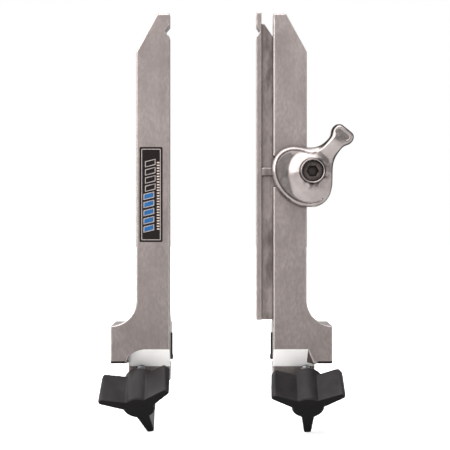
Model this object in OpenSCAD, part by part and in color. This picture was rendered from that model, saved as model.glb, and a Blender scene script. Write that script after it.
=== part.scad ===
// A pair of tall arms for a bench circuit board holder, seen as they stand on their cross rail.
// X runs along the rail, Y away from the user and Z up. The origin is on the rail's centre line,
// midway between the two arms. The right arm carries a sprung jaw that a cam lever draws back.

/* [Arms] */
// Distance between the inner edges of the two arms
arm_gap = 62.4; // [50:0.2:120]
// Width of an arm, seen from the front
arm_w = 20; // [19:0.1:24]
// Thickness of an arm, front to back
arm_t = 12; // [11:0.5:16]
// Height of the arms' tops above the rail's centre line
arm_top = 201; // [170:1:260]
// Width of the flat top of an arm
tip_w = 7.4; // [6:0.1:9]
// Height of the slanting end of an arm
tip_h = 23; // [18:0.5:28]
// Height of the cross notch near the top of the left arm and of the jaw
notch_w = 7.2; // [4:0.1:9]
// Depth of the cross notch in the left arm
notch_d = 3; // [1:0.1:4]
// Distance from the arm's top down to the cross notch
notch_drop = 10.5; // [8:0.1:16]
// Width of the long groove that takes the edge of a board
groove_w = 3.2; // [1.6:0.1:4]
// Depth of the long board groove
groove_d = 1.5; // [0.8:0.1:1.8]

/* [Foot] */
// Width of a foot along the rail
foot_w = 35.4; // [33:0.1:44]
// Height of the foot's top above the rail's centre line
foot_top = 13.5; // [12:0.1:18]
// Depth of the foot's outer end below the rail's centre line
foot_drop = 9.3; // [8:0.1:10]
// Distance from the rail's centre line forward to the front face of the arms
front = 24; // [23:0.5:30]
// Distance below the rail's centre line at which the bevelled seat of the knob starts
bevel_z = 0.6; // [0.2:0.1:3]
// How far the bevelled seat runs down and back
bevel_leg = 11.4; // [9.5:0.1:11.6]
// Width of the bevelled seat, from the arm's inner edge
bevel_w = 25.6; // [24:0.1:29]
// Radius of the rounded end of the bevelled seat
bevel_r = 11; // [5:0.1:12]
// Width of the flat of the right foot's seat, from the arm's inner edge
flat_seat_w = 20.7; // [18:0.1:24]
// Depth of the leg that carries the clamp screw below the rail's centre line
leg_low = 20.4; // [19.8:0.1:20.6]
// Side of the square cross rail
rail = 12.7; // [11:0.1:13]
// Thickness of the hook behind the rail
hook_t = 5; // [3.5:0.1:8]
// Chamfer along the foot's lower front edge
foot_chamfer = 1.6; // [0.6:0.1:2.4]

/* [Clamp] */
// Distance from the left arm's inner edge to its clamp screw's axis
left_clamp_out = 17.7; // [17:0.1:20]
// Distance from the right arm's inner edge to its clamp screw's axis
right_clamp_out = 20.2; // [17:0.1:21]
// Distance by which the clamp screw's axis passes below the rail's centre line
clamp_drop = 2.5; // [0:0.1:2.6]
// Diameter of the clamp screw
clamp_d = 6.35; // [5:0.05:8]
// Advance of the clamp screw in one turn
clamp_pitch = 1.27; // [1:0.01:1.3]
// Turns from tight to loose
clamp_turns = 2; // [1:0.5:2]
// Thickness of the clamp shoe
shoe_t = 2; // [1.6:0.1:2.2]
// Height of the shoe's front leg above the rail
shoe_rise = 1.6; // [0:0.1:3]
// How far the shoe sticks out past the foot's inner end
shoe_out = 1.2; // [0.4:0.1:3]

/* [Knob] */
// Radius over the three wings
knob_r = 24.8; // [20:0.1:30]
// Radius of the hub
hub_r = 9.7; // [8:0.1:13]
// Length of the hub
hub_len = 23.8; // [20:0.1:32]
// Length of the wings along the hub
wing_len = 19.4; // [14:0.1:20]
// Distance from the bevelled seat to the hub
knob_gap = 6.4; // [6.3:0.1:12]
// Width of a wing where it leaves the hub
wing_root = 9.4; // [7:0.1:11]
// Width of a wing at its tip
wing_tip = 4.6; // [3.6:0.1:6.8]

/* [Jaw] */
// Distance from the right arm's inner edge to the jaw's working face
jaw_stand = 10.2; // [9:0.1:14]
// Thickness of the jaw's lip
lip_t = 3; // [2.6:0.1:4]
// Height of the jaw's foot above the rail's centre line
jaw_low = 17.1; // [15:0.1:40]
// Height of the jaw's top above the arm's top
jaw_over = 0.6; // [0:0.1:2]
// Travel of the jaw
jaw_travel = 5; // [3:0.1:5.4]
// Thickness of the jaw's tongue
tongue_t = 5.7; // [5.2:0.1:6.2]
// Depth to which the tongue sits in the arm
tongue_in = 3.5; // [2.5:0.1:4]
// Height of the draw bar across the front of the tongue
bar_w = 4.6; // [4:0.1:6]
// Height of the opening in the arm's front wall that the draw bar works in
relief_h = 18.2; // [9:0.1:24]

/* [Lever] */
// Distance from the right arm's inner edge to the lever's pivot
pivot_out = 22.7; // [22:0.1:25]
// Height of the lever's pivot above the rail's centre line
pivot_z = 106.1; // [80:0.5:130]
// Length of the lever's oval dished head
head_len = 41.4; // [38:0.1:46]
// Width of the oval head
head_wide = 29; // [27.6:0.1:32]
// Distance of the oval head's centre to the left of the pivot
head_left = 5.8; // [5:0.1:6.4]
// Distance of the oval head's centre below the pivot
head_down = 3.4; // [2.6:0.1:4]
// Distance from the pivot to the end of the lever's arm
lever_len = 32; // [29:0.5:40]
// Direction of the lever's arm, from the rail's direction upwards
lever_angle = 50; // [40:1:60]
// Angle through which the lever turns
lever_swing = 60; // [50:1:66]
// Diameter of the pivot screw's shank
pivot_d = 7.8; // [6:0.1:8]
// Diameter of the pivot screw's head
screw_head_d = 11.8; // [11.4:0.1:12.2]

/* [Springs] */
// Height of the upper jaw spring
spring_high = 158; // [130:1:175]
// Height of the lower jaw spring
spring_low = 52; // [35:1:75]
// Outer diameter of a jaw spring
spring_d = 4.4; // [3.6:0.1:4.6]
// Diameter of the spring wire
wire_d = 0.6; // [0.4:0.05:0.7]
// Turns of a jaw spring
spring_turns = 7; // [5:1:9]

/* [Hidden] */
$fn = 64;

// One overrun for every cut, and the clearances between pieces
over = 1;
slip = 0.1;
rail_fit = 0.15;
cast_colour = [0.62, 0.59, 0.57];
polished_colour = [0.72, 0.70, 0.69];
steel_colour = [0.55, 0.55, 0.56];
black_colour = [0.13, 0.12, 0.12];
unit_diagonal = sqrt(2);

// Places that follow from the sizes above
fillet_r = foot_w - arm_w;
mid_y = -front + arm_t / 2;
seat = rail / 2 + rail_fit;
back_y = seat + hook_t;
clamp_travel = clamp_turns * clamp_pitch;
clamp_shift = clamp_travel / unit_diagonal;
shoe_face = seat + shoe_t;
channel_front = shoe_face + clamp_shift + 2 * slip;
shoe_top = seat + shoe_rise;
shoe_leg_end = seat - shoe_t - 2 * slip;
shoe_web = 1.4;
shoe_flat = seat * unit_diagonal + shoe_web;
channel_flat = shoe_flat + clamp_travel + 2 * slip;
bevel_flat = (front + bevel_z) / unit_diagonal;
mouth_y = 1;
leg_face = front - bevel_leg;
wall = 2;
seat_slant = 0.6;
knob_start = bevel_flat + knob_gap;
knob_bore_depth = 15;
knob_round = 1.8;
wing_round = 1.6;
wing_draft = 1.2;
wing_edge = 0.8;
press_gap = 0.03;
left_knob_turn = 15.5;
right_knob_turn = 152;
wings = 3;

tongue_slot_t = tongue_t + 2 * rail_fit;
slot_wall = (arm_t - tongue_slot_t) / 2;
slot_depth = tongue_in + jaw_travel + 5 * slip;
lip_back = jaw_stand - lip_t;
tongue_drop = 5.6;
tongue_top = arm_top - tongue_drop;
tongue_flat = 1.7;
tongue_slant = 1.48;
jaw_notch_d = 2.3;
slot_low = jaw_low - lip_t / 2;
bar_t = slot_wall - 4 * slip;
follower_r = 1.6;
follower_out = 15;
follower_at = pivot_out - follower_out;
follower_stand = 3.1;
bar_end = follower_at + follower_r + over;
window_end = bar_end + jaw_travel + 5 * slip;
ear_r = 8;

washer_t = 0.5;
washer_r = 6.8;
sleeve_r = 4.8;
plate_t = 4.4;
rim_t = 2;
rim_h = 6.6;
cam_depth = 3;
cam_half = follower_r + 2 * slip;
hub_top = 13.5;
head_turn = -45;
bell_r = 14;
hub_neck_r = 7.6;
hub_lip = 0.7;
arm_dip = 6.4;
near_r = 17;
paddle_top = 11.4;
paddle_under = 5.6;
paddle_edge = 2.6;
recess_d = 0.7;
rise_steps = 12;
sleeve_len = 6.9;
counterbore_r = screw_head_d / 2 + 4 * slip;
counterbore_z = sleeve_len - 2 * slip;
head_h = 4.4;
socket_af = 6.35;
socket_depth = 3;
neck_w = 8;
paddle_w = 14.3;
paddle_len = 7.8;
paddle_round = 3.4;
lever_blend = 13;
thread_play = 0.05;

guide_r = spring_d / 2 - wire_d - 3 * slip;
guide_grip = 2.5;
spring_pocket_r = spring_d / 2 + 3 * slip;
spring_wall = 3;
spring_end = arm_w - spring_wall;
spring_rings = 8;
spring_sides = 6;

// Points along an arc of radius r round [x, y], from angle a to angle b
function arc(x, y, r, a, b, steps) =
    [for (i = [0:steps]) let (t = a + (b - a) * i / steps) [x + r * cos(t), y + r * sin(t)]];

// Puts the right-hand arm's frame, with x counted outwards from the inner edge, in its place
module on_right() { translate([arm_gap / 2, 0, 0]) children(); }
module on_left() { mirror([1, 0, 0]) on_right() children(); }

// Stands a front outline up, from depth y0 back to depth y1
module upright(y0, y1) { translate([0, y1, 0]) rotate([90, 0, 0]) linear_extrude(y1 - y0) children(); }

// Runs a side outline, given as [y, z], along X from x0 to x1
module along_rail(x0, x1) {
    translate([x0, 0, 0]) rotate([90, 0, 90]) linear_extrude(x1 - x0) children();
}

// Puts the clamp screw's axis on Z, which runs down and to the front. Z is counted from a plane
// through the rail's centre line.
module on_clamp_axis(out) {
    translate([out, 0, -clamp_drop]) rotate([135, 0, 0])
        translate([0, 0, -clamp_drop / unit_diagonal]) children();
}

// Puts the lever's pivot on Z, with Z towards the user from the arm's front face
module on_pivot() { translate([pivot_out, -front, pivot_z]) rotate([90, 0, 0]) children(); }

// Front outline of an arm and of its foot's outer end
module arm_outline() {
    polygon(concat(
        [[0, -foot_drop], [foot_w, -foot_drop]],
        arc(foot_w, foot_top + fillet_r, fillet_r, 270, 180, 24),
        [[arm_w, arm_top - tip_h], [tip_w, arm_top], [0, arm_top]]));
}

// Side outline of the foot where it carries the knob's seat and the threaded wall
module foot_side() {
    polygon([[-front, foot_top], [-front, -bevel_z],
        [-leg_face, -bevel_z - bevel_leg], [-leg_face, -leg_low],
        [-leg_face / 2, -leg_low], [mouth_y, -channel_front - wall],
        [mouth_y, 0], [seat, 0], [seat, -foot_drop], [back_y, -foot_drop],
        [back_y, foot_top]]);
}

// Side outline of the foot's outer end, open below the rail
module foot_end_side() {
    polygon([[-front, foot_top], [-front, -foot_drop + foot_chamfer],
        [-front + foot_chamfer, -foot_drop], [-channel_front, -foot_drop],
        [-channel_front, 0], [seat, 0], [seat, -foot_drop], [back_y, -foot_drop],
        [back_y, foot_top]]);
}

// Side outline of the channel that holds the rail and the shoe
module channel_side() {
    corner = channel_flat * unit_diagonal - channel_front;
    polygon([[-channel_front, shoe_top + 2 * slip], [-channel_front, -corner],
        [-corner, -channel_front], [seat, -channel_front], [seat, seat],
        [slip - seat, seat], [slip - seat, shoe_top + 2 * slip]]);
}

// The knob's bevelled seat, cut into the front of the foot with a rounded outer end
module round_seat() {
    intersection() {
        upright(-front - over, back_y)
            polygon(concat([[-over, -bevel_z - bevel_leg], [-over, -bevel_z]],
                [for (p = arc(0, 0, bevel_r, 90, 0, 16))
                    [bevel_w - bevel_r + p[0], -bevel_z + (p[1] - bevel_r) / unit_diagonal]],
                [[bevel_w, -bevel_z - bevel_leg]]));
        along_rail(-over, bevel_w + over)
            polygon([[-front - over, -bevel_z + over], [-front - over, -bevel_z - bevel_leg],
                [-leg_face, -bevel_z - bevel_leg]]);
    }
}

// The same seat with a flat outer end that slants out to the front
module flat_seat() {
    lift = foot_drop * unit_diagonal;
    inner = (leg_face - bevel_z - bevel_leg + clamp_drop) / unit_diagonal + over;
    on_clamp_axis(0) translate([0, front, bevel_flat - slip / 2])
        rotate([90, 0, 0]) linear_extrude(front - inner)
        polygon([[-over, 0], [flat_seat_w, 0], [flat_seat_w + lift * seat_slant, lift], [-over, lift]]);
}

// Casting shared by both arms: the bar, its foot, the rail channel and the threaded wall.
// The knob's seat, which isn't the same on both, is given as a child.
module arm_casting(screw_out) {
    difference() {
        union() {
            upright(-front, -front + arm_t) arm_outline();
            along_rail(0, bevel_w) foot_side();
            along_rail(bevel_w, foot_w) foot_end_side();
            back_cove();
        }
        children();
        along_rail(-over, foot_w + over) channel_side();
        along_rail(bevel_w, foot_w + over)
            polygon([[-front - over, -foot_drop + foot_chamfer + over],
                [-front - over, -foot_drop - over],
                [-front + foot_chamfer + over, -foot_drop - over]]);
        on_clamp_axis(screw_out) translate([0, 0, shoe_flat])
            cylinder(h = knob_start - shoe_flat, r = clamp_d / 2 + slip);
    }
}

// Cove between the back of the bar and the top of the foot
module back_cove() {
    cove = back_y + front - arm_t - hook_t;
    along_rail(0, arm_w)
        polygon(concat([[-front + arm_t / 2, foot_top - over], [-front + arm_t + cove, foot_top - over]],
            arc(-front + arm_t + cove, foot_top + cove, cove, 270, 180, 16),
            [[-front + arm_t / 2, foot_top + cove]]));
}

// Cross notch, with its point at depth d past x = 0
module cross_notch(d) {
    polygon([[-over, arm_top - notch_drop + notch_w / 2 * (1 + over / d)],
        [d, arm_top - notch_drop], [-over, arm_top - notch_drop - notch_w / 2 * (1 + over / d)]]);
}

// Long groove for a board's edge, seen from above, with its mouth at x = 0
module board_groove(low, high) {
    half = groove_w / 2 * (1 + over / groove_d);
    translate([0, mid_y, low]) linear_extrude(high - low)
        polygon([[-over, -half], [groove_d, 0], [-over, half]]);
}

module left_arm() {
    color(cast_colour) on_left() difference() {
        arm_casting(left_clamp_out) round_seat();
        upright(-front - over, -front + arm_t + over) cross_notch(notch_d);
        board_groove(foot_top + fillet_r, arm_top + over);
    }
}

// Height of the tongue's slanting top at x, once the jaw is moved by travel
function tongue_height(x, travel) = tongue_top - (x - travel + lip_back - tongue_flat) * tongue_slant;

// Outline of the slot, whose top slants with the tongue's and clears it over the whole travel
module tongue_slot() {
    polygon([[-over, slot_low], [slot_depth, slot_low],
        [slot_depth, tongue_height(slot_depth, jaw_travel) + over],
        [-over, tongue_height(-over, jaw_travel) + over]]);
}

// The right arm is slotted for the jaw's tongue and has an ear for the lever's pivot
module right_arm() {
    color(cast_colour) on_right() difference() {
        union() {
            arm_casting(right_clamp_out) flat_seat();
            on_pivot() translate([0, 0, -arm_t]) cylinder(h = arm_t, r = ear_r);
        }
        upright(mid_y - tongue_slot_t / 2, mid_y + tongue_slot_t / 2) tongue_slot();
        translate([-over, -front - over, pivot_z - relief_h / 2])
            cube([window_end + over, slot_wall + 4 * slip + over, relief_h]);
        for (z = [spring_low, spring_high]) translate([0, mid_y, z]) rotate([0, 90, 0])
            cylinder(h = spring_end, r = spring_pocket_r);
        on_pivot() translate([0, 0, -arm_t - over])
            cylinder(h = arm_t + 2 * over, r = pivot_d / 2 + thread_play);
    }
}

// Black angle shoe that the clamp screw presses against the rail's lower front corner
module clamp_shoe() {
    corner = shoe_flat * unit_diagonal - shoe_face;
    color(black_colour) along_rail(-shoe_out, foot_w - over)
        polygon([[-shoe_face, shoe_top], [-shoe_face, -corner], [-corner, -shoe_face],
            [shoe_leg_end, -shoe_face], [shoe_leg_end, -seat], [-seat, -seat], [-seat, shoe_top]]);
}

module clamp_screw(out) {
    color(steel_colour) on_clamp_axis(out) translate([0, 0, shoe_flat])
        cylinder(h = knob_start + knob_bore_depth - shoe_flat, d = clamp_d);
}

// Plan of one wing: it tapers outwards to a round tip
module wing_plan() {
    tip_at = knob_r - wing_tip / 2;
    polygon([[0, -wing_root / 2], [0, wing_root / 2], [tip_at, wing_tip / 2], [tip_at, -wing_tip / 2]]);
    translate([tip_at, 0]) circle(d = wing_tip);
}

// Moulded three-wing knob, its wings reaching the outer end
module knob(out, turn) {
    wing_start = hub_len - wing_len;
    color(black_colour) on_clamp_axis(out) translate([0, 0, knob_start]) difference() {
        union() {
            rotate_extrude() polygon(concat([[0, 0]],
                arc(hub_r - knob_round, knob_round, knob_round, -90, 0, 8),
                [[hub_r, hub_len - wing_edge], [hub_r - wing_edge, hub_len], [0, hub_len]]));
            intersection() {
                for (i = [0:wings - 1]) rotate(turn + i * 360 / wings)
                    translate([0, 0, wing_start]) linear_extrude(wing_len) wing_plan();
                rotate_extrude() polygon(concat([[0, wing_start]],
                    arc(knob_r - wing_draft - wing_round, wing_start + wing_round, wing_round, -90, 0, 8),
                    [[knob_r, hub_len - wing_edge], [knob_r - wing_edge, hub_len], [0, hub_len]]));
            }
        }
        translate([0, 0, -over])
            cylinder(h = knob_bore_depth + over, r = clamp_d / 2 + press_gap);
    }
}

// Sprung jaw: a grooved lip on a long tongue, with the draw bar across the tongue's front
module moving_jaw() {
    jaw_top = arm_top + jaw_over;
    color(cast_colour) on_right() difference() {
        union() {
            translate([-jaw_stand, -front, jaw_low]) cube([lip_t, arm_t, jaw_top - jaw_low]);
            upright(mid_y - tongue_t / 2, mid_y + tongue_t / 2)
                polygon([[-jaw_stand + over, jaw_low], [tongue_in, jaw_low],
                    [tongue_in, tongue_height(tongue_in, 0)],
                    [tongue_flat - lip_back, tongue_top], [-jaw_stand + over, tongue_top]]);
            translate([-lip_back - over, mid_y - tongue_t / 2 - bar_t, pivot_z - bar_w / 2])
                cube([lip_back + over + bar_end, bar_t + slip, bar_w]);
        }
        translate([-jaw_stand, 0, 0]) upright(-front - over, -front + arm_t + over)
            cross_notch(jaw_notch_d);
        translate([-jaw_stand, 0, 0]) board_groove(jaw_low - over, jaw_top + over);
        translate([follower_at, mid_y, pivot_z]) rotate([90, 0, 0])
            cylinder(h = arm_t, r = follower_r + press_gap);
        for (z = [spring_low, spring_high]) translate([tongue_in - guide_grip, mid_y, z])
            rotate([0, 90, 0]) cylinder(h = guide_grip + over, r = guide_r + press_gap);
    }
}

// Steel pin, pressed in the end of the tongue, that keeps a jaw spring straight
module guide_pin(z) {
    reach = spring_end - jaw_travel - over;
    color(steel_colour) on_right() translate([tongue_in - guide_grip, mid_y, z])
        rotate([0, 90, 0]) cylinder(h = reach - tongue_in + guide_grip, r = guide_r);
}

// Steel pin, pressed in the draw bar, that runs in the cam track of the lever
module follower_pin() {
    pin_back = mid_y - tongue_t / 2;
    color(steel_colour) on_right() translate([follower_at, pin_back, pivot_z]) rotate([90, 0, 0])
        cylinder(h = pin_back + front + follower_stand, r = follower_r);
}

// Coil spring between the bottom of its pocket and the end of the tongue
module jaw_spring(z) {
    coil_r = (spring_d - wire_d) / 2;
    length = spring_end - tongue_in - wire_d - 2 * slip;
    steps = spring_turns * spring_rings;
    rings = [for (i = [0:steps]) let (a = i * 360 / spring_rings) [for (j = [0:spring_sides - 1])
        let (b = j * 360 / spring_sides, r = coil_r + wire_d / 2 * cos(b))
        [tongue_in + slip + wire_d / 2 + length * i / steps + wire_d / 2 * sin(b),
            mid_y + r * cos(a), z + r * sin(a)]]];
    points = [for (ring = rings) each ring];
    sides = [for (i = [0:steps - 1], j = [0:spring_sides - 1])
        let (k = (j + 1) % spring_sides, a = i * spring_sides, b = a + spring_sides)
        each [[a + j, b + j, b + k], [a + j, b + k, a + k]]];
    first = [[for (j = [spring_sides - 1:-1:0]) j]];
    last = [[for (j = [0:spring_sides - 1]) steps * spring_sides + j]];
    color(steel_colour) on_right() polyhedron(points, concat(sides, first, last), 4);
}

// Plan of the whole lever: oval head, arm and paddle with flowing sides
module lever_plan() {
    offset(r = -lever_blend) offset(r = lever_blend) union() {
        translate([-head_left, -head_down]) rotate(head_turn)
            scale([head_len / head_wide, 1]) circle(d = head_wide);
        rotate(lever_angle) lever_arm_plan();
    }
}

// The oval dished head with its rolled rim
module lever_head() {
    half = head_wide / 2;
    roll = rim_t / 2;
    translate([-head_left, -head_down, 0]) rotate(head_turn) scale([head_len / head_wide, 1, 1])
        rotate_extrude() polygon(concat([[0, 0], [half, 0]],
            arc(half - roll, rim_h - roll, roll, 0, 180, 8),
            [[half - rim_t, plate_t + roll], [half - rim_t - roll, plate_t], [0, plate_t]]));
}

// Plan of the arm and paddle alone, along X
module lever_arm_plan() {
    translate([0, -neck_w / 2]) square([lever_len - paddle_len / 2, neck_w]);
    translate([lever_len - paddle_len + paddle_round, 0]) offset(r = paddle_round)
        translate([0, paddle_round - paddle_w / 2])
        square([paddle_len - 2 * paddle_round, paddle_w - 2 * paddle_round]);
}

// Points of a smooth rise from [x0, z0] to [x1, z1]
function rise(x0, z0, x1, z1) = [for (i = [0:rise_steps]) let (t = i / rise_steps)
    [x0 + (x1 - x0) * t, z0 + (z1 - z0) * (1 - cos(180 * t)) / 2]];

// Side of the arm: it leaves the hub, clears the casting and rises to the paddle
module lever_side() {
    top = rise(hub_neck_r, arm_dip, lever_len - paddle_len, paddle_top);
    polygon(concat([[0, 0]], rise(head_wide / 2 - over, 0, lever_len + over, paddle_under),
        [[lever_len + over, paddle_top]], [for (i = [rise_steps:-1:0]) top[i]], [[0, arm_dip]]));
}

// The arm, flowing out of the hub to the paddle
module lever_arm() {
    rotate(lever_angle) intersection() {
        linear_extrude(hub_top) offset(r = -lever_blend) offset(r = lever_blend) union() {
            circle(r = hub_neck_r);
            lever_arm_plan();
        }
        translate([0, paddle_w, 0]) rotate([90, 0, 0]) linear_extrude(2 * paddle_w) lever_side();
    }
}

// The bell of the hub, its skirt running out on the head
module lever_hub() {
    flare = bell_r - hub_neck_r;
    rotate_extrude() polygon(concat([[0, 0], [bell_r, 0]],
        arc(bell_r, plate_t + flare, flare, 270, 180, 12),
        [[hub_neck_r, hub_top - hub_lip], [hub_neck_r - hub_lip, hub_top], [0, hub_top]]));
}

// Spiral track: its radius falls evenly from follower_out as the lever is turned
module cam_track() {
    steps = 20;
    angle = function (t) 180 - lever_swing * t;
    radius = function (t) follower_out - jaw_travel * t;
    shares = [for (i = [0:steps]) -0.02 + 1.04 * i / steps];
    edge = function (side) [for (t = shares)
        (radius(t) + side * cam_half) * [cos(angle(t)), sin(angle(t))]];
    inner = edge(-1);
    polygon(concat(edge(1), [for (i = [steps:-1:0]) inner[i]]));
    for (t = [shares[0], shares[steps]])
        translate(radius(t) * [cos(angle(t)), sin(angle(t))]) circle(cam_half);
}

// Cast and polished cam lever: dished head with a rolled rim, bell hub, arm and thumb paddle
module cam_lever() {
    color(polished_colour) on_right() on_pivot() difference() {
        translate([0, 0, washer_t]) union() {
            lever_head();
            linear_extrude(plate_t) intersection() {
                lever_plan();
                circle(r = near_r);
            }
            intersection() {
                linear_extrude(hub_top) lever_plan();
                lever_hub();
            }
            lever_arm();
        }
        translate([0, 0, -over]) cylinder(h = hub_top + 2 * over, r = sleeve_r + thread_play);
        translate([0, 0, counterbore_z]) cylinder(h = hub_top, r = counterbore_r);
        rotate(lever_angle) translate([lever_len - paddle_len / 2, 0, washer_t + paddle_top - recess_d])
            scale([(paddle_len - 2 * paddle_edge) / (paddle_w - 2 * paddle_edge), 1, 1])
            cylinder(h = hub_top, d = paddle_w - 2 * paddle_edge);
        translate([0, 0, washer_t - over]) linear_extrude(cam_depth + over) cam_track();
    }
}

// Steel sleeve on which the lever turns, clamped by the pivot screw
module lever_sleeve() {
    color(steel_colour) on_right() on_pivot() difference() {
        cylinder(h = sleeve_len, r = sleeve_r);
        translate([0, 0, -over]) cylinder(h = sleeve_len + 2 * over, r = pivot_d / 2 + thread_play);
    }
}

module lever_washer() {
    color(steel_colour) on_right() on_pivot() difference() {
        cylinder(h = washer_t, r = washer_r);
        translate([0, 0, -over]) cylinder(h = washer_t + 2 * over, r = sleeve_r + thread_play);
    }
}

// Socket head screw, threaded into the ear of the right arm
module lever_screw() {
    color(black_colour) on_right() on_pivot() difference() {
        union() {
            translate([0, 0, over - arm_t]) cylinder(h = arm_t - over + sleeve_len, d = pivot_d);
            translate([0, 0, sleeve_len]) cylinder(h = head_h, d = screw_head_d);
        }
        translate([0, 0, sleeve_len + head_h - socket_depth])
            cylinder(h = socket_depth + over, r = socket_af / sqrt(3), $fn = 6);
    }
}

left_arm();
on_left() clamp_shoe();  // left_clamp_shoe
on_left() clamp_screw(left_clamp_out);  // left_clamp_screw
on_left() knob(left_clamp_out, left_knob_turn);  // left_knob
right_arm();
on_right() clamp_shoe();  // right_clamp_shoe
on_right() clamp_screw(right_clamp_out);  // right_clamp_screw
on_right() knob(right_clamp_out, right_knob_turn);  // right_knob
moving_jaw();
follower_pin();
guide_pin(spring_high);  // upper_guide_pin
guide_pin(spring_low);  // lower_guide_pin
jaw_spring(spring_high);  // upper_jaw_spring
jaw_spring(spring_low);  // lower_jaw_spring
cam_lever();
lever_sleeve();
lever_washer();
lever_screw();
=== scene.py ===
import math

import bmesh
import bpy
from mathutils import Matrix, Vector, geometry


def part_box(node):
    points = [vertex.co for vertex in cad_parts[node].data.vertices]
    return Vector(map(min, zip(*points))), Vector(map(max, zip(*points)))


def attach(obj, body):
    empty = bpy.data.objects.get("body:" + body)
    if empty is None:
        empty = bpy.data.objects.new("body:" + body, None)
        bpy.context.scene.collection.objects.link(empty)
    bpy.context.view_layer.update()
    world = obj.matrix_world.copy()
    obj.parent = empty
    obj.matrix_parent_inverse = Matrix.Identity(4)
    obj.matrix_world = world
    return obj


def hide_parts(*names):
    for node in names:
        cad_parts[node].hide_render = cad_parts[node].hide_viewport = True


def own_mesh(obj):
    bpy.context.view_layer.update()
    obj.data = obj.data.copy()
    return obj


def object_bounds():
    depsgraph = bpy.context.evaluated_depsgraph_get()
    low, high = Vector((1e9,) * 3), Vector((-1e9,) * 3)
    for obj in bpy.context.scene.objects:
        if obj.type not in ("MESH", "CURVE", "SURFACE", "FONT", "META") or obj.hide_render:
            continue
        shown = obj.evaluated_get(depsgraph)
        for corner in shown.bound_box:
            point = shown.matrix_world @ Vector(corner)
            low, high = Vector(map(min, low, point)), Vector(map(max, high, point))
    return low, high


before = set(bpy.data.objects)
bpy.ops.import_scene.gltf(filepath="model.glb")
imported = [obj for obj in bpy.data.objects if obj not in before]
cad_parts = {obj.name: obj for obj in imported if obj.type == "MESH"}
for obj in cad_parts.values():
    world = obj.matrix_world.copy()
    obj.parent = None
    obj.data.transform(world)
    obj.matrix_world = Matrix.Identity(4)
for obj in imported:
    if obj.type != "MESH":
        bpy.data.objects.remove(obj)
cad_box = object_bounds()
MM = 0.001


# The two arms and the jaw
# Aluminium castings, tumbled after casting so that the skin is satin grey with soft cloudy marks.
# Their edges are rounded and worn pale, the pale partly a painted highlight, with a painted dark line of
# shade on the very corner.
# The arms are painted darker towards the feet as shade, and the seats of the knobs are machined and painted
# near white as a highlight.
def srgb(red, green, blue):
    """A colour given as 0 to 255, as Blender wants it."""
    linear = (((c / 255 + 0.055) / 1.055) ** 2.4 if c > 10 else c / 3294.6 for c in (red, green, blue))
    return tuple(linear) + (1,)


def grey(level):
    """A grey, or the strength of a mask, from 0 to 1."""
    return (level, level, level, 1)


def shaded(colour, share):
    """A colour with only a share of its light left."""
    return tuple(c * share for c in colour[:3]) + (1,)


ARM_DARK, ARM_LIGHT = srgb(144, 134, 131), srgb(163, 153, 150)
JAW_DARK, JAW_LIGHT = srgb(136, 126, 123), srgb(154, 144, 141)
SEAT_LIT_WHITE = srgb(250, 247, 245)
WORN_EDGE_HIGHLIGHT = srgb(220, 212, 210)
CORNER_SHADE_LINE = srgb(100, 92, 88)
SHADE_AND_DARK_MARKS = srgb(66, 56, 54)
GRAIN_SHARE = 0.86
# How wide the edges are rounded, and how far painted shade reaches out of an inside corner
ARM_EDGE = 1.6 * MM
JAW_EDGE = 0.8 * MM
CORNER_SHADE_REACH = 1.6 * MM
# The machined seats end this far from the middle of the vise, and the feet's chamfers start
SEAT_END = 57 * MM
SEAT_FADE = 0.4 * MM
# The jaw's web starts beside its grooved lip, and carries dark cloudy marks
JAW_LIP = 4.4 * MM
WEB_FADE = 0.3 * MM
WEB_MARKS = 0.6
# Heights above the rail, and the share of the colour left there by painted shade that darkens the arms
# towards the feet
FOOT_SHADE_LEVELS = ((0, 0.66), (30 * MM, 0.8), (80 * MM, 0.88), (155 * MM, 1))
# Cosines between which a face counts as the slanting one, an edge as worn and lit by a painted highlight, and
# so on
SLANTING = (0.985, 0.995)
WORN_AND_LIT = (0.99, 0.9)
CORNER = (0.88, 0.8)
DOWNWARDS = (0.2, 0.45)
SKIN_DEPTH = 0.12 * MM


def new_material(name):
    """A material with its node tree, and the shader in it."""
    material = bpy.data.materials.new(name)
    material.use_nodes = True
    return material, material.node_tree, material.node_tree.nodes["Principled BSDF"]


def add_node(tree, kind, **values):
    """A node with its properties set."""
    node = tree.nodes.new(kind)
    for key, value in values.items():
        setattr(node, key, value)
    return node


def add_place(tree):
    """The point's X, Y and Z in the part's own coordinates, in metres."""
    place = add_node(tree, "ShaderNodeSeparateXYZ")
    tree.links.new(add_node(tree, "ShaderNodeTexCoord").outputs["Object"], place.inputs["Vector"])
    return place.outputs


def add_noise(tree, scale, detail, stretch=(1, 1, 1)):
    """A noise in the part's own coordinates, with so many waves a metre."""
    mapping = add_node(tree, "ShaderNodeMapping")
    mapping.inputs["Scale"].default_value = stretch
    tree.links.new(add_node(tree, "ShaderNodeTexCoord").outputs["Object"], mapping.inputs["Vector"])
    noise = add_node(tree, "ShaderNodeTexNoise")
    noise.inputs["Scale"].default_value = scale
    noise.inputs["Detail"].default_value = detail
    tree.links.new(mapping.outputs["Vector"], noise.inputs["Vector"])
    return noise.outputs["Fac"]


def add_ramp(tree, source, stops):
    """A colour ramp through (position, colour) stops. A bare number for a colour is a grey."""
    stops = [(position, colour if isinstance(colour, tuple) else grey(colour)) for position, colour in stops]
    ramp = add_node(tree, "ShaderNodeValToRGB")
    ramp.color_ramp.elements[0].position, ramp.color_ramp.elements[0].color = stops[0]
    ramp.color_ramp.elements[1].position, ramp.color_ramp.elements[1].color = stops[-1]
    for position, colour in stops[1:-1]:
        ramp.color_ramp.elements.new(position).color = colour
    tree.links.new(source, ramp.inputs["Fac"])
    return ramp.outputs["Color"]


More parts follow.
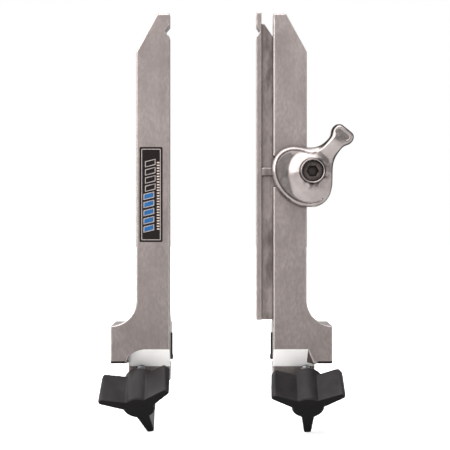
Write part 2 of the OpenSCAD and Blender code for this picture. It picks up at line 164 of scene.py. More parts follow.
def add_range(tree, source, low, high, low_value=0, high_value=1):
    """Stretches a value, so that low becomes low_value and high becomes high_value."""
    spread = add_node(tree, "ShaderNodeMapRange")
    spread.inputs["From Min"].default_value = low
    spread.inputs["From Max"].default_value = high
    spread.inputs["To Min"].default_value = low_value
    spread.inputs["To Max"].default_value = high_value
    tree.links.new(source, spread.inputs["Value"])
    return spread.outputs["Result"]


def add_facing(tree, direction, cosines, source="Normal"):
    """A mask that is 1 where a direction is faced. The source may be Generated, for the sky, or a socket."""
    if isinstance(source, str):
        source = add_node(tree, "ShaderNodeTexCoord").outputs[source]
    dot = add_node(tree, "ShaderNodeVectorMath", operation="DOT_PRODUCT")
    tree.links.new(source, dot.inputs[0])
    dot.inputs[1].default_value = Vector(direction).normalized()
    return add_range(tree, dot.outputs["Value"], *cosines)


def add_mix(tree, mask, under, over):
    """Lays one colour or socket over another by a mask."""
    mix = add_node(tree, "ShaderNodeMix", data_type="RGBA")
    tree.links.new(mask, mix.inputs["Factor"])
    for name, colour in (("A", under), ("B", over)):
        socket = [i for i in mix.inputs if i.name == name and i.type == "RGBA"][0]
        if isinstance(colour, tuple):
            socket.default_value = colour
        else:
            tree.links.new(colour, socket)
    return [o for o in mix.outputs if o.type == "RGBA"][0]


def add_both(tree, mask, other):
    """A mask that is 1 where both masks are, or a colour dimmed by a mask."""
    return add_mix(tree, mask, grey(0), other)


def add_round_edges(tree, radius):
    """Normals that run round the edges, a mask of the edges and a mask of their very corners."""
    bevel = add_node(tree, "ShaderNodeBevel", samples=8)
    bevel.inputs["Radius"].default_value = radius
    dot = add_node(tree, "ShaderNodeVectorMath", operation="DOT_PRODUCT")
    tree.links.new(bevel.outputs["Normal"], dot.inputs[0])
    tree.links.new(add_node(tree, "ShaderNodeNewGeometry").outputs["Normal"], dot.inputs[1])
    edge = add_range(tree, dot.outputs["Value"], *WORN_AND_LIT)
    corner = add_range(tree, dot.outputs["Value"], *CORNER)
    return bevel.outputs["Normal"], edge, corner


def add_corner_shade(tree, reach):
    """A mask that is 1 in inside corners and narrow gaps, for painted shade there."""
    shelter = add_node(tree, "ShaderNodeAmbientOcclusion", samples=8)
    shelter.inputs["Distance"].default_value = reach
    return add_ramp(tree, shelter.outputs["AO"], [(0.45, 1), (0.85, 0)])


def add_bump(tree, shader, source, strength, depth):
    """A bump of the given depth in metres."""
    bump = add_node(tree, "ShaderNodeBump")
    bump.inputs["Strength"].default_value = strength
    bump.inputs["Distance"].default_value = depth
    tree.links.new(source, bump.inputs["Height"])
    tree.links.new(bump.outputs["Normal"], shader.inputs["Normal"])
    return bump


def cast_metal(name, dark, light, edge_radius, web_marks):
    """Tumbled casting. It has dark cloudy marks on the web if its web argument is over 0, and is else painted
    darker towards the feet as shade.
    """
    material, tree, shader = new_material(name)
    place = add_place(tree)
    clouds = add_ramp(tree, add_noise(tree, 60, 9), [(0.3, dark), (0.7, light)])
    grain = add_ramp(tree, add_noise(tree, 700, 6, (1, 1, 0.5)), [(0.36, 0), (0.64, 0.6)])
    colour = add_mix(tree, grain, clouds, shaded(dark, GRAIN_SHARE))
    if not web_marks:
        # Painted shade: the arms are darker towards the feet
        colour = add_both(tree, add_ramp(tree, place["Z"], FOOT_SHADE_LEVELS), colour)
    normal, edge, corner = add_round_edges(tree, edge_radius)
    # Worn edges, painted pale also as a highlight
    colour = add_mix(tree, edge, colour, WORN_EDGE_HIGHLIGHT)
    # A painted dark line of shade on the very corner of each edge
    colour = add_mix(tree, corner, colour, CORNER_SHADE_LINE)
    # Painted shade: edges that face down are painted dark
    colour = add_mix(tree, add_facing(tree, (0, 0, -1), DOWNWARDS, normal), colour, SHADE_AND_DARK_MARKS)
    # Painted shade in inside corners and narrow gaps
    colour = add_mix(tree, add_corner_shade(tree, CORNER_SHADE_REACH), colour, SHADE_AND_DARK_MARKS)
    # Dark cloudy marks painted over the jaw's web
    if web_marks:
        web_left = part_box("moving_jaw")[0][0] + JAW_LIP
        web = add_ramp(tree, place["X"], [(web_left, 0), (web_left + WEB_FADE, 1)])
        marks = add_ramp(tree, add_noise(tree, 130, 8, (1.4, 1, 0.5)), [(0.42, 0), (0.62, web_marks)])
        colour = add_mix(tree, add_both(tree, web, marks), colour, SHADE_AND_DARK_MARKS)
    slanting = add_facing(tree, (0, -1, -1), SLANTING)
    from_middle = add_node(tree, "ShaderNodeMath", operation="ABSOLUTE")
    tree.links.new(place["X"], from_middle.inputs[0])
    beyond = add_ramp(tree, from_middle.outputs["Value"], [(SEAT_END, 0), (SEAT_END + SEAT_FADE, 1)])
    # Slanting faces beyond the seats, on the feet's chamfers, are painted dark
    colour = add_mix(tree, add_both(tree, beyond, slanting), colour, SHADE_AND_DARK_MARKS)
    # The seats are machined, and are painted near white and dull as a painted highlight of the light they
    # catch
    seat = add_mix(tree, beyond, slanting, grey(0))
    tree.links.new(add_mix(tree, seat, colour, SEAT_LIT_WHITE), shader.inputs["Base Color"])
    tree.links.new(add_mix(tree, seat, grey(0.9), grey(0.05)), shader.inputs["Metallic"])
    rough = add_ramp(tree, add_noise(tree, 160, 5, (1, 1, 0.12)), [(0.3, 0.36), (0.7, 0.5)])
    tree.links.new(rough, shader.inputs["Roughness"])
    skin = add_bump(tree, shader, add_noise(tree, 1500, 3), 0.25, SKIN_DEPTH)
    tree.links.new(normal, skin.inputs["Normal"])
    return material


def dress(node_name, material):
    """Gives a CAD node one material and hands its object back."""
    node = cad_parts[node_name]
    node.data.materials.clear()
    node.data.materials.append(material)
    return node


for side in ("left", "right"):
    dress(side + "_arm", cast_metal(side + "_arm_casting", ARM_DARK, ARM_LIGHT, ARM_EDGE, 0))
dress("moving_jaw", cast_metal("moving_jaw_casting", JAW_DARK, JAW_LIGHT, JAW_EDGE, WEB_MARKS))


# The clamp shoes
# Angles bent from steel sheet and coated black. They lie between the screw's tip and the rail.
black_coat, tree, shader = new_material("black_coat")
coat = add_ramp(tree, add_noise(tree, 120, 5), [(0.35, srgb(26, 24, 24)), (0.7, srgb(46, 43, 42))])
tree.links.new(coat, shader.inputs["Base Color"])
shader.inputs["Roughness"].default_value = 0.5
add_bump(tree, shader, add_noise(tree, 2500, 2), 0.2, 0.1 * MM)
for side in ("left", "right"):
    dress(side + "_clamp_shoe", black_coat)


# The pins, sleeve and washer
# Turned steel, bright and lightly oiled, mostly out of sight inside the arms.
turned_steel, tree, shader = new_material("turned_steel")
turned = add_ramp(tree, add_noise(tree, 300, 4), [(0.3, srgb(150, 150, 152)), (0.7, srgb(190, 190, 192))])
tree.links.new(turned, shader.inputs["Base Color"])
shader.inputs["Metallic"].default_value = 1
shader.inputs["Roughness"].default_value = 0.3
for node_name in ("follower_pin", "upper_guide_pin", "lower_guide_pin", "lever_sleeve", "lever_washer"):
    dress(node_name, turned_steel)


# The jaw springs
# Two coils of spring steel wire, one behind each end of the jaw's tongue. In the vise they are pressed
# together against the bottoms of their pockets as the lever draws the jaw back; here each keeps the length of
# its CAD part.
WIRE = 0.6 * MM
SPRING_TURNS = 7
COIL_STEPS = 20
WIRE_SIDES = 8


def close_tube(surface, rings, smooth):
    """Joins rings of vertices into one closed tube."""
    for first, second in zip(rings, rings[1:]):
        for j in range(len(first)):
            k = (j + 1) % len(first)
            surface.faces.new((first[j], first[k], second[k], second[j])).smooth = smooth
    surface.faces.new(rings[0])
    surface.faces.new(rings[-1])
    bmesh.ops.recalc_face_normals(surface, faces=surface.faces)


def put_in_scene(name, data):
    """An object made from a mesh, a camera or a lamp."""
    thing = bpy.data.objects.new(name, data)
    bpy.context.scene.collection.objects.link(thing)
    return thing


def make_piece(name, surface, materials):
    """An object made from a finished surface."""
    piece = put_in_scene(name, bpy.data.meshes.new(name))
    surface.to_mesh(piece.data)
    surface.free()
    for material in materials:
        piece.data.materials.append(material)
    return piece


for node_name in ("upper_jaw_spring", "lower_jaw_spring"):
    low, high = (Vector(corner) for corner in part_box(node_name))
    middle = (low + high) / 2
    length = high.x - low.x
    coil_radius = (high.z - low.z - WIRE) / 2
    coil = bmesh.new()
    rings = []
    steps = SPRING_TURNS * COIL_STEPS
    for i in range(steps + 1):
        turn = 2 * math.pi * i / COIL_STEPS
        centre = Vector((low.x + WIRE / 2 + (length - WIRE) * i / steps, middle.y, middle.z))
        out = Vector((0, math.cos(turn), math.sin(turn)))
        ring = []
        for j in range(WIRE_SIDES):
            round_wire = 2 * math.pi * j / WIRE_SIDES
            radial = out * (coil_radius + WIRE / 2 * math.cos(round_wire))
            ring.append(coil.verts.new(centre + radial + Vector((WIRE / 2 * math.sin(round_wire), 0, 0))))
        rings.append(ring)
    close_tube(coil, rings, True)
    spring = make_piece(node_name + "_coil", coil, [turned_steel])
    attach(spring, "arms")
    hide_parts(node_name)
    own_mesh(spring)


# The clamp screws
# Quarter inch steel studs with a rolled thread, set in the knobs. The thread winds round once in 1.27 mm
# and runs out at both ends.
PITCH = 1.27 * MM
THREAD_DEPTH = 0.7 * MM
CREST_SHARE = 0.15
STUD_SIDES = 28
RINGS_A_TURN = 6
DOWN_THE_SCREW = Vector((0, -1, -1)).normalized()
ACROSS_THE_SCREW = Vector((0, 1, -1)).normalized()
for side in ("left", "right"):
    low, high = (Vector(corner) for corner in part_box(side + "_clamp_screw"))
    stud_radius = (high.x - low.x) / 2
    stud_length = (high.y - low.y) * math.sqrt(2) - 2 * stud_radius
    start = (low + high) / 2 - DOWN_THE_SCREW * stud_length / 2
    steps = int(stud_length / PITCH * RINGS_A_TURN)
    stud = bmesh.new()
    rings = []
    for i in range(steps + 1):
        from_tip = stud_length * i / steps
        run_out = min(from_tip, stud_length - from_tip, PITCH) / PITCH
        ring = []
        for j in range(STUD_SIDES):
            turn = 2 * math.pi * j / STUD_SIDES
            saw = abs(2 * ((from_tip / PITCH - j / STUD_SIDES) % 1) - 1)
            groove = max(saw - CREST_SHARE, 0) / (1 - CREST_SHARE)
            radius = stud_radius - THREAD_DEPTH * max(groove, 1 - run_out)
            out = Vector((math.cos(turn), 0, 0)) + ACROSS_THE_SCREW * math.sin(turn)
            ring.append(stud.verts.new(start + DOWN_THE_SCREW * from_tip + radius * out))
        rings.append(ring)
    close_tube(stud, rings, False)
    screw = make_piece(side + "_threaded_screw", stud, [turned_steel])
    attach(screw, side + "_screw")
    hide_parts(side + "_clamp_screw")


# The wing knobs
# Glass-filled nylon, moulded with round edges. The skin is semi-matte with a fine even grain, and the
# faces of the outer ends are duller and painted darker as shade.
KNOB_VOXEL = 0.35 * MM
KNOB_ROUNDS = 5
END_FACE = (0.9, 0.98)


def soften(node, voxel, rounds):
    """Gives a CAD node a dense even mesh and smooths it, so that its edges come out rounded."""
    remesh = node.modifiers.new("remesh", "REMESH")
    remesh.mode = "VOXEL"
    remesh.voxel_size = voxel
    remesh.use_smooth_shade = True
    smooth = node.modifiers.new("smooth", "SMOOTH")
    smooth.factor = 0.5
    smooth.iterations = rounds


knob_plastic, tree, shader = new_material("knob_plastic")
skin = add_ramp(tree, add_noise(tree, 90, 6), [(0.35, srgb(26, 23, 24)), (0.7, srgb(40, 37, 38))])
end_face = add_facing(tree, (0, -1, -1), END_FACE)
# Painted shade: the end faces, which face down and forward, are darker
tree.links.new(add_mix(tree, end_face, skin, srgb(14, 12, 13)), shader.inputs["Base Color"])
tree.links.new(add_mix(tree, end_face, grey(0.42), grey(0.85)), shader.inputs["Roughness"])
shader.inputs["Specular IOR Level"].default_value = 0.15
add_bump(tree, shader, add_noise(tree, 1800, 2), 0.35, 0.15 * MM)
for side in ("left", "right"):
    soften(dress(side + "_knob", knob_plastic), KNOB_VOXEL, KNOB_ROUNDS)


# The cam lever
# A casting polished all over: an oval dished head with a rolled rim, a bell-shaped hub with a lip and an
# arm that rises to a thumb paddle. It is one surface, its height worked out over its plan, in millimetres
# from the pivot and from the lever's back.
HEAD_CENTRE = (-6.0, -3.3)
HEAD_HALF = (20.3, 15.7)
HEAD_TURN = math.radians(-48)
PLATE = 4.4
EDGE_ROUND = 0.9
# The rim goes round the head's left, and ends between these cosines to its right
RIM_TOP = 7.1
RIM_WIDE = 2.1
RIM_SLOPE = 0.85
RIM_WALL = (-0.1, 0.9)
RIM_ENDS = (0.8, 0.4)
# The bell rises from its foot to the neck, and its foot spreads wider to the lower right
BELL_FOOT = 14.3
BELL_SPREAD = 5
SPREAD_SIDE = (0.6, -0.8)
SPREAD_COSINES = (-0.35, 0.7)
BELL_NECK = 7.4
BELL_RISE = 5.2
BELL_SHARES = (0.6, 0.4)
NECK_WALL = 0.25
HUB_TOP = 13.5
HUB_BORE = 6.3
LIP_FALL = 1.6
# The arm is crowned across, falls off at its shoulders and sinks away behind the hub
ARM_TURN = math.radians(50.5)
ARM_END = 32
ARM_HALF = 4.9
ARM_CORNER = 1
ARM_TOP = 6.2
ARM_RISE = 5.2
RISE_START = 6
ARM_CROWN = 0.02
SHOULDER = 0.55
SHOULDER_START = 1
SHOULDER_POWER = 1.5
ROOT_FALL = 4
ROOT_HALF = 7
UNDER_RISE = 5.6
UNDER_START = 13.5
UNDER_PAST_END = 3
# The paddle, and the recess for the thumb
PADDLE_LONG = 7.9
PADDLE_WIDE = 14.2
PADDLE_CORNER = 3.8
RECESS_HALF = (2.1, 4.9)
RECESS_CORNER = 2
RECESS_SHIFT = 0.2
RECESS_FLOOR = 10.65
RECESS_WALL = (-0.5, 0.3)
# How wide the forms run into each other
PADDLE_BLEND = 3
HEAD_BLEND = 12
ARM_BLEND = 2.5
BELL_BLEND = 1.2
ROOT_BLEND = 2.6
ROOT_BLEND_LENGTH = 5
# The spiral track in the back, for the follower pin, in shares of the lever's swing
TRACK_RADIUS = 15
TRACK_FALL = 5
TRACK_SWING = math.radians(60)
TRACK_HALF = 1.8
TRACK_DEPTH = 3
TRACK_START_SHARE = -0.14
TRACK_LONG_SHARE = 1.36
TRACK_STEPS = 26


def rotated(x, z, turn):
    return x * math.cos(turn) + z * math.sin(turn), z * math.cos(turn) - x * math.sin(turn)


def ease(low, high, value):
    """0 below low, 1 above high and an S-curve between."""
    t = min(max((value - low) / (high - low), 0), 1)
    return t * t * (3 - 2 * t)


def blend(a, b, width):
    """The lower of two values, with a round corner where they cross."""
    overlap = max(width - abs(a - b), 0) / width
    return min(a, b) - overlap * overlap * width / 4


def raise_to(a, b, width):
    """The higher of two values, with a round corner where they cross."""
    return -blend(-a, -b, width)


def round_box(x, z, half_x, half_z, corner):
    """Distance from a rectangle with round corners, negative inside."""
    dx = abs(x) - half_x + corner
    dz = abs(z) - half_z + corner
    return math.hypot(max(dx, 0), max(dz, 0)) + min(max(dx, dz), 0) - corner


def head_edge(x, z):
    """Distance from the head's oval outline, negative inside."""
    along, across = rotated(x - HEAD_CENTRE[0], z - HEAD_CENTRE[1], HEAD_TURN)
    share = math.hypot(along / HEAD_HALF[0], across / HEAD_HALF[1])
    slope = math.hypot(along / HEAD_HALF[0] ** 2, across / HEAD_HALF[1] ** 2)
    return share * (share - 1) / max(slope, 1e-6)


def arm_edge(x, z):
    """Distance from the outline of the arm and its paddle, negative inside."""
    along, across = rotated(x, z, ARM_TURN)
    bar = round_box(along - ARM_END / 2, across, ARM_END / 2 - ARM_CORNER, ARM_HALF, ARM_CORNER)
    to_paddle = along - ARM_END + PADDLE_LONG / 2
    paddle = round_box(to_paddle, across, PADDLE_LONG / 2, PADDLE_WIDE / 2, PADDLE_CORNER)
    return blend(bar, paddle, PADDLE_BLEND)


def lever_edge(x, z):
    """Distance from the lever's outline, negative inside."""
    return blend(head_edge(x, z), arm_edge(x, z), HEAD_BLEND)


def rim_share(x, z):
    """1 where the head has its full rim and 0 on the arm's side."""
    direction = math.atan2(z - HEAD_CENTRE[1], x - HEAD_CENTRE[0])
    return ease(-RIM_ENDS[0], -RIM_ENDS[1], -math.cos(direction))


def bell_top(x, z):
    """Height of the bell and of the lip round the hub's bore."""
    reach = math.hypot(x, z)
    towards = (SPREAD_SIDE[0] * x + SPREAD_SIDE[1] * z) / max(reach, 1)
    foot = BELL_FOOT + BELL_SPREAD * ease(*SPREAD_COSINES, towards)
    share = min(max((foot - reach) / (foot - BELL_NECK), 0), 1)
    bell = PLATE + BELL_RISE * share * (BELL_SHARES[0] + BELL_SHARES[1] * share)
    from_crest = (reach - (BELL_NECK + HUB_BORE) / 2) / (BELL_NECK - HUB_BORE)
    lip = HUB_TOP - LIP_FALL * from_crest ** 2
    return bell + (lip - bell) * (1 - ease(BELL_NECK - NECK_WALL, BELL_NECK + NECK_WALL, reach))


def arm_top(x, z):
    """Height of the arm and of the paddle, before the recess."""
    along, across = rotated(x, z, ARM_TURN)
    height = ARM_TOP + ARM_RISE * ease(RISE_START, ARM_END - PADDLE_LONG, along)
    height -= ARM_CROWN * across * across
    height -= SHOULDER * max(arm_edge(x, z) + SHOULDER_START, 0) ** SHOULDER_POWER
    return height - ROOT_FALL * (1 - ease(-ROOT_HALF, ROOT_HALF, along))


def lever_top(x, z):
    """Height of the lever's front surface."""
    along, across = rotated(x, z, ARM_TURN)
    rim = rim_share(x, z)
    wall = ease(RIM_WIDE + RIM_WALL[0], RIM_WIDE + RIM_WALL[1], -head_edge(x, z))
    height = PLATE + (RIM_TOP - PLATE) * rim * (1 - wall)
    height = raise_to(height, arm_top(x, z), ARM_BLEND)
    height = raise_to(height, bell_top(x, z), BELL_BLEND + ROOT_BLEND * ease(0, ROOT_BLEND_LENGTH, along))
    to_recess = along - ARM_END + PADDLE_LONG / 2 - RECESS_SHIFT
    recess = 1 - ease(*RECESS_WALL, round_box(to_recess, across, *RECESS_HALF, RECESS_CORNER))
    height += (RECESS_FLOOR - height) * recess
    height -= RIM_SLOPE * rim * max(RIM_WIDE + lever_edge(x, z), 0)
    inside = min(max(-lever_edge(x, z) / EDGE_ROUND, 0), 1)
    return height - EDGE_ROUND * (1 - math.sqrt(1 - (1 - inside) ** 2))


def lever_under(x, z):
    """Height of the lever's back, which is flat at the head and rises towards the paddle."""
    return UNDER_RISE * ease(UNDER_START, ARM_END + UNDER_PAST_END, rotated(x, z, ARM_TURN)[0])


def contour(level, step):
    """Walks once round the outline, set in by level, from a point left of the head's centre."""
    probe = 0.01
    x, z = HEAD_CENTRE[0] - WALK_START, HEAD_CENTRE[1]
    points = []
    while len(points) < 12 or math.hypot(x - points[0][0], z - points[0][1]) > step * 0.8:
        for _ in range(4):
            slope_x = (lever_edge(x + probe, z) - lever_edge(x - probe, z)) / (2 * probe)
            slope_z = (lever_edge(x, z + probe) - lever_edge(x, z - probe)) / (2 * probe)
            size = slope_x ** 2 + slope_z ** 2
            miss = (lever_edge(x, z) + level) / size
            x -= slope_x * miss
            z -= slope_z * miss
        points.append((x, z))
        x -= slope_z * step / math.sqrt(size)
        z += slope_x * step / math.sqrt(size)
    return points


def circle(radius, count):
    """Points round the pivot."""
    turns = [2 * math.pi * i / count for i in range(count)]
    return [(radius * math.cos(turn), radius * math.sin(turn)) for turn in turns]


def track_outline():
    """Outline of the track, along its outer side and back along the inner one."""
    def point(share, side):
        turn = math.pi - TRACK_SWING * share
        radius = TRACK_RADIUS - TRACK_FALL * share + side * TRACK_HALF
        return radius * math.cos(turn), radius * math.sin(turn)
    shares = [TRACK_START_SHARE + TRACK_LONG_SHARE * i / TRACK_STEPS for i in range(TRACK_STEPS + 1)]
    return [point(share, 1) for share in shares] + [point(share, -1) for share in reversed(shares)]


def in_track(x, z):
    share = (math.pi - math.atan2(z, x) % (2 * math.pi)) / TRACK_SWING
    from_middle = math.hypot(x, z) - TRACK_RADIUS + TRACK_FALL * share
    return 0 < share - TRACK_START_SHARE < TRACK_LONG_SHARE and abs(from_middle) < TRACK_HALF


def in_lever(x, z):
    return lever_edge(x, z) < 0.02 and math.hypot(x, z) > HUB_BORE * 0.99


def add_sheet(loops, free_points, inside, height, forwards):
    """Adds one face of the lever: triangles where inside is true. Hands back each loop's vertices."""
    points = [point for loop in loops for point in loop]
    edges = []
    first = 0
    for loop in loops:
        edges += [(first + i, first + (i + 1) % len(loop)) for i in range(len(loop))]
        first += len(loop)
    vectors = [Vector(point) for point in points + free_points]
    flat, _, triangles, sources = geometry.delaunay_2d_cdt(vectors, edges, [], 0, 1e-5)[:4]
    verts = [surface.verts.new(((pivot[0] + x) * MM, (lever_back - height(x, z)) * MM, (pivot[2] + z) * MM))
             for x, z in flat]
    for triangle in triangles:
        middle = sum((flat[i] for i in triangle), Vector((0, 0))) / 3
        if inside(*middle):
            order = triangle if forwards else triangle[::-1]
            surface.faces.new([verts[i] for i in order]).smooth = forwards
    place = {source: i for i, group in enumerate(sources) for source in group}
    starts = [sum(len(loop) for loop in loops[:k]) for k in range(len(loops))]
    return [[verts[place[start + i]] for i in range(len(loop))] for start, loop in zip(starts, loops)]


def add_wall(upper, lower):
    """Joins two loops of the same length."""
    for i in range(len(upper)):
        j = (i + 1) % len(upper)
        surface.faces.new((upper[i], upper[j], lower[j], lower[i]))


# Where the front surface bends most, the mesh has rings of points: so far in from the outline, and at these
# radii round the hub. Elsewhere it has an even grid
OUTLINE_STEP = 0.5
WALK_START = 15
HUB_POINTS = 72
EDGE_RINGS = (0.06, 0.25, 0.6, 1.1, 1.7, 2.2, 2.5, 2.8, 3.2)
HUB_RINGS = (6.45, 6.65, 6.85, 7.05, 7.2, 7.35, 7.5, 7.65, 8.1, 8.7)
GRID = 0.65
GRID_CELLS = range(-40, 46)
GRID_INSET = 3.5
GRID_HUB = 9.3

pivot = [(low + high) / 2 / MM for low, high in zip(*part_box("lever_screw"))]
lever_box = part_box("cam_lever")
lever_back = lever_box[1][1] / MM
outline = contour(0, OUTLINE_STEP)
bore = circle(HUB_BORE, HUB_POINTS)
track = track_outline()
front_points = [point for level in EDGE_RINGS for point in contour(level, OUTLINE_STEP)]
front_points += [point for radius in HUB_RINGS for point in circle(radius, HUB_POINTS)]
grid_points = [(x * GRID, z * GRID) for x in GRID_CELLS for z in GRID_CELLS]
front_points += [(x, z) for x, z in grid_points
                 if lever_edge(x, z) < -GRID_INSET and math.hypot(x, z) > GRID_HUB]
front_points = [(x, z) for x, z in front_points if math.hypot(x, z) > HUB_BORE + 0.1]
surface = bmesh.new()
front = add_sheet([outline, bore], front_points, in_lever, lever_top, True)
back = add_sheet([outline, bore, track], contour(1, 1.5),
                 lambda x, z: in_lever(x, z) and not in_track(x, z), lever_under, False)
track_floor = add_sheet([track], [], in_track, lambda x, z: TRACK_DEPTH, False)
for upper, lower in ((front[0], back[0]), (front[1], back[1]), (track_floor[0], back[2])):
    add_wall(upper, lower)
bmesh.ops.recalc_face_normals(surface, faces=surface.faces)
for vert in surface.verts:
    vert.co = [min(max(c, low), high) for c, low, high in zip(vert.co, *lever_box)]
bmesh.ops.delete(surface, geom=[v for v in surface.verts if not v.link_faces], context="VERTS")

# The polish is cloudy and smudged by fingers round the hub's neck on the lower right, where a painted dark
# reflection is laid over the smudges, and its edges on the right side are painted dark as shade where they
# face away
POLISH_DARK, POLISH_LIGHT = srgb(142, 134, 132), srgb(168, 160, 158)
POLISH_CORNER_SHADE = srgb(60, 52, 52)
NECK_SMUDGE_AND_SHADE = srgb(58, 48, 48)
RIGHT_EDGE_SHADE = srgb(40, 35, 34)
NECK_RING = ((7.3 * MM, 0), (7.6 * MM, 0.95), (9.5 * MM, 0.85), (11.8 * MM, 0))
RIGHT_SIDE = ((1 * MM, 0), (6 * MM, 1))
TURNED_AWAY = ((0.05, 0), (0.25, 1), (0.68, 1), (0.9, 0))
polished, tree, shader = new_material("polished_casting")
from_pivot = add_node(tree, "ShaderNodeVectorMath", operation="SUBTRACT")
tree.links.new(add_node(tree, "ShaderNodeTexCoord").outputs["Object"], from_pivot.inputs[0])
from_pivot.inputs[1].default_value = (pivot[0] * MM, lever_back * MM, pivot[2] * MM)
flat_on = add_node(tree, "ShaderNodeVectorMath", operation="MULTIPLY")
tree.links.new(from_pivot.outputs["Vector"], flat_on.inputs[0])
flat_on.inputs[1].default_value = (1, 0, 1)
reach = add_node(tree, "ShaderNodeVectorMath", operation="LENGTH")
tree.links.new(flat_on.outputs["Vector"], reach.inputs[0])
place = add_node(tree, "ShaderNodeSeparateXYZ")
tree.links.new(from_pivot.outputs["Vector"], place.inputs["Vector"])

sheen = add_ramp(tree, add_noise(tree, 110, 6), [(0.3, POLISH_DARK), (0.7, POLISH_LIGHT)])
# Painted shade in the lever's creases and hollows
sheen = add_mix(tree, add_corner_shade(tree, 1.4 * MM), sheen, POLISH_CORNER_SHADE)
# Smudges round the neck together with a painted dark reflection, on faces turned to the lower right
fingers = add_ramp(tree, add_noise(tree, 260, 7), [(0.44, 0.1), (0.54, 1)])
smudged_and_shaded = add_both(tree, add_ramp(tree, reach.outputs["Value"], NECK_RING), fingers)
smudged_and_shaded = add_both(tree, add_facing(tree, (0.6, 0, -0.8), (-0.02, 0.3)), smudged_and_shaded)
sheen = add_mix(tree, smudged_and_shaded, sheen, NECK_SMUDGE_AND_SHADE)
# Painted shade: the lever's edges on the right that face away are painted dark
turned_away = add_ramp(tree, add_facing(tree, (0, -1, 0), (0, 1)), TURNED_AWAY)
right_edge_shade = add_both(tree, add_ramp(tree, place.outputs["X"], RIGHT_SIDE), turned_away)
tree.links.new(add_mix(tree, right_edge_shade, sheen, RIGHT_EDGE_SHADE), shader.inputs["Base Color"])
shader.inputs["Metallic"].default_value = 1
rough = add_ramp(tree, add_noise(tree, 260, 5), [(0.35, 0.14), (0.65, 0.26)])
tree.links.new(rough, shader.inputs["Roughness"])
add_bump(tree, shader, add_noise(tree, 320, 4), 0.5, SKIN_DEPTH)
lever = make_piece("polished_lever", surface, [polished])
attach(lever, "lever")
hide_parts("cam_lever")


# The pivot screw
# A socket head cap screw with a black oxide finish, sunk in the lever's hub. Its socket is painted near black
# inside as shade.
black_oxide, tree, shader = new_material("black_oxide")
oxide = add_ramp(tree, add_noise(tree, 200, 5), [(0.35, srgb(60, 52, 49)), (0.7, srgb(104, 94, 90))])
# Painted shade: the screw's hollows, its socket most of all, painted near black
socket_shade = add_mix(tree, add_corner_shade(tree, 4 * MM), oxide, srgb(4, 3, 3))
tree.links.new(socket_shade, shader.inputs["Base Color"])
shader.inputs["Metallic"].default_value = 0.7
shader.inputs["Roughness"].default_value = 0.38
dress("lever_screw", black_oxide)


# The label
# A black plate glued on the left arm's front, with a thin grey border. It is printed with slanting blocks,
# the lower ones blue, and a row of short pale ticks beside them.
LABEL_LEFT = -49.2 * MM
LABEL_LOW = 63.9 * MM
LABEL_WIDE = 13.8 * MM
LABEL_TALL = 57 * MM
BORDER = 1.1 * MM
LINE = 0.45 * MM
CORNERS = (0.8 * MM, 0.5 * MM, 0.3 * MM)
# Each ink lies this high over the arm, from the plate up to the blocks' fill
INK_HEIGHTS = (0.12 * MM, 0.14 * MM, 0.16 * MM, 0.18 * MM, 0.2 * MM)
BLOCKS = 9
BLUE_BLOCKS = 5
BLOCK_LOW = 5.6 * MM
BLOCK_TALL = 3.6 * MM
BLOCK_GAP = 1.3 * MM
BLOCK_SLANT = 1.5 * MM
BLUE_SIDES = (2.4 * MM, 8.8 * MM)
PLAIN_SIDES = (3.3 * MM, 9.6 * MM)
TICKS = 25
TICK_LOW = 7.4 * MM
TICK_STEP = 1.66 * MM
TICK_TALL = 0.8 * MM
TICK_SIDES = (10.4 * MM, 12 * MM)
INKS = {"label_black": srgb(24, 18, 17), "label_grey": srgb(158, 149, 147),
        "label_blue": srgb(38, 88, 136), "label_pale": srgb(188, 172, 162)}
BLACK, GREY, BLUE, PALE = range(4)
label_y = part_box("left_arm")[0][1]


def label_ink(name, colour):
    """Slightly glossy ink with faded specks."""
    ink, tree, shader = new_material(name)
    specks = add_ramp(tree, add_noise(tree, 900, 3), [(0.35, shaded(colour, 0.75)), (0.6, colour)])
    tree.links.new(specks, shader.inputs["Base Color"])
    shader.inputs["Roughness"].default_value = 0.38
    shader.inputs["Specular IOR Level"].default_value = 0.15
    return ink


def add_print(ink, corners, height):
    """Adds a thin slab of one ink, its outline in the label's own X and Z from the lower left corner."""
    front = [prints.verts.new((LABEL_LEFT + x, label_y - height, LABEL_LOW + z)) for x, z in corners]
    back = [prints.verts.new((LABEL_LEFT + x, label_y, LABEL_LOW + z)) for x, z in corners]
    faces = [prints.faces.new(front)]
    for i in range(len(corners)):
        j = (i + 1) % len(corners)
        faces.append(prints.faces.new((front[j], front[i], back[i], back[j])))
    for face in faces:
        face.material_index = ink


def rectangle(left, right, low, high, slant=0):
    return [(left, low), (right, low + slant), (right, high + slant), (left, high)]


def rounded(inset, radius):
    """The label's outline, set in and with round corners, from the lower left corner and anticlockwise."""
    left = low = inset + radius
    right = LABEL_WIDE - left
    high = LABEL_TALL - low
    centres = ((left, low), (right, low), (right, high), (left, high))
    return [(x + radius * math.cos(turn), z + radius * math.sin(turn))
            for corner, (x, z) in enumerate(centres)
            for turn in (math.pi + (corner + step / 4) * math.pi / 2 for step in range(5))]


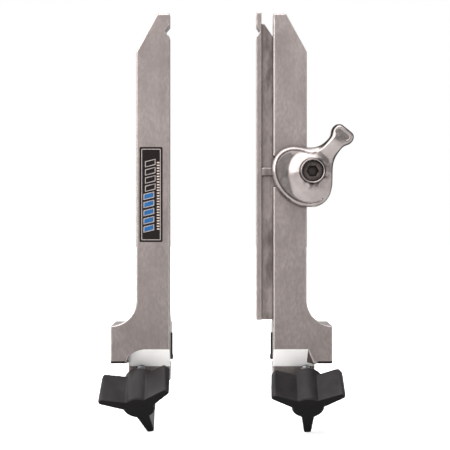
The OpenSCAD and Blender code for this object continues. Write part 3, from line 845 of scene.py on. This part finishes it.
prints = bmesh.new()
for ink, inset, corner, height in zip((BLACK, GREY, BLACK), (0, BORDER, BORDER + LINE), CORNERS, INK_HEIGHTS):
    add_print(ink, rounded(inset, corner), height)
for i in range(BLOCKS):
    low = BLOCK_LOW + i * (BLOCK_TALL + BLOCK_GAP)
    high = low + BLOCK_TALL
    left, right = BLUE_SIDES if i < BLUE_BLOCKS else PLAIN_SIDES
    fill = rectangle(left + LINE, right - LINE, low + LINE, high - LINE, BLOCK_SLANT)
    add_print(GREY, rectangle(left, right, low, high, BLOCK_SLANT), INK_HEIGHTS[3])
    add_print(BLUE if i < BLUE_BLOCKS else BLACK, fill, INK_HEIGHTS[4])
for i in range(TICKS):
    low = TICK_LOW + i * TICK_STEP
    add_print(PALE, rectangle(*TICK_SIDES, low, low + TICK_TALL), INK_HEIGHTS[3])
label = make_piece("label", prints, [label_ink(name, colour) for name, colour in INKS.items()])
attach(label, "arms")


# The camera
# The photograph looks square at the front from about 0.7 m. The lens and the place are set so that the
# outlines of arms, lever and knobs fall where the photograph has them.
camera = put_in_scene("camera", bpy.data.cameras.new("camera"))
camera.location = (2.1 * MM, -0.724, 74.1 * MM)
camera.rotation_euler = (math.radians(90), 0, 0)
camera.data.lens = 93.3
camera.data.sensor_width = 36
bpy.context.scene.camera = camera


# The floor
# White paper that runs on into the backdrop. The camera sees it glow, less so close to the vise, and it
# keeps the vise's shadow there.
FLOOR_HALF = 6
FLOOR_GAP = 0.5 * MM
GLOW_FROM, GLOW_TO = 0.06, 0.3
NEAR_GLOW, FAR_GLOW = 0.45, 1
floor_z = cad_box[0][2] - FLOOR_GAP
floor_mesh = bpy.data.meshes.new("floor")
floor_corners = [(x * FLOOR_HALF, y * FLOOR_HALF, floor_z) for x, y in ((-1, -1), (1, -1), (1, 1), (-1, 1))]
floor_mesh.from_pydata(floor_corners, [], [(0, 1, 2, 3)])
floor = put_in_scene("floor", floor_mesh)
floor_white, tree, shader = new_material("floor_white")
shader.inputs["Base Color"].default_value = grey(0.7)
shader.inputs["Roughness"].default_value = 1
shader.inputs["Specular IOR Level"].default_value = 0
shader.inputs["Emission Color"].default_value = grey(1)
distance = add_node(tree, "ShaderNodeVectorMath", operation="LENGTH")
tree.links.new(add_node(tree, "ShaderNodeTexCoord").outputs["Object"], distance.inputs[0])
glow = add_range(tree, distance.outputs["Value"], GLOW_FROM, GLOW_TO, NEAR_GLOW, FAR_GLOW)
seen = add_node(tree, "ShaderNodeMix", data_type="FLOAT")
seen.inputs["A"].default_value = 0
tree.links.new(add_node(tree, "ShaderNodeLightPath").outputs["Is Camera Ray"], seen.inputs["Factor"])
tree.links.new(glow, seen.inputs["B"])
tree.links.new(seen.outputs["Result"], shader.inputs["Emission Strength"])
floor_mesh.materials.append(floor_white)


# The lights
# A bright sky on the left and above, the darker room behind the camera, and three softboxes. The
# backdrop is white to the camera, and to what mirrors it.
SHADE = 0.5
LIGHT = 3.2
CAMERA_SIDE = 0.5
LIGHT_SIDE = (-0.85, -0.3, 0.55)
LIGHT_COSINES = (0.25, 0.8)
CAMERA_COSINES = (0.88, 0.985)
BACKDROP_COSINES = (0.5, 0.9)
LAMPS_AIM = (0, 0, 0.08)
world = bpy.data.worlds.new("studio")
bpy.context.scene.world = world
world.use_nodes = True
tree = world.node_tree
path = add_node(tree, "ShaderNodeLightPath")
lit = add_facing(tree, LIGHT_SIDE, LIGHT_COSINES, "Generated")
sky = add_mix(tree, lit, grey(SHADE), grey(LIGHT))
sky = add_mix(tree, add_facing(tree, (0, -1, 0), CAMERA_COSINES, "Generated"), sky, grey(CAMERA_SIDE))
backdrop = add_facing(tree, (0, 1, 0), BACKDROP_COSINES, "Generated")
sky = add_mix(tree, add_both(tree, path.outputs["Is Glossy Ray"], backdrop), sky, grey(1))
sky = add_mix(tree, path.outputs["Is Camera Ray"], sky, grey(1))
tree.links.new(sky, tree.nodes["Background"].inputs["Color"])


def add_softbox(name, place, size, power):
    lamp = bpy.data.lights.new(name, "AREA")
    lamp.shape = "RECTANGLE"
    lamp.size, lamp.size_y = size
    lamp.energy = power
    holder = put_in_scene(name, lamp)
    holder.location = place
    holder.rotation_euler = (Vector(LAMPS_AIM) - Vector(place)).to_track_quat("-Z", "Y").to_euler()


add_softbox("left_softbox", (-1.1, -0.7, 0.6), (1.0, 1.2), 6)
add_softbox("right_softbox", (1.2, -0.5, 0.5), (0.7, 1.2), 1)
add_softbox("top_softbox", (0, -0.6, 1.3), (1.4, 0.9), 8)
bpy.context.scene.view_settings.view_transform = "Standard"
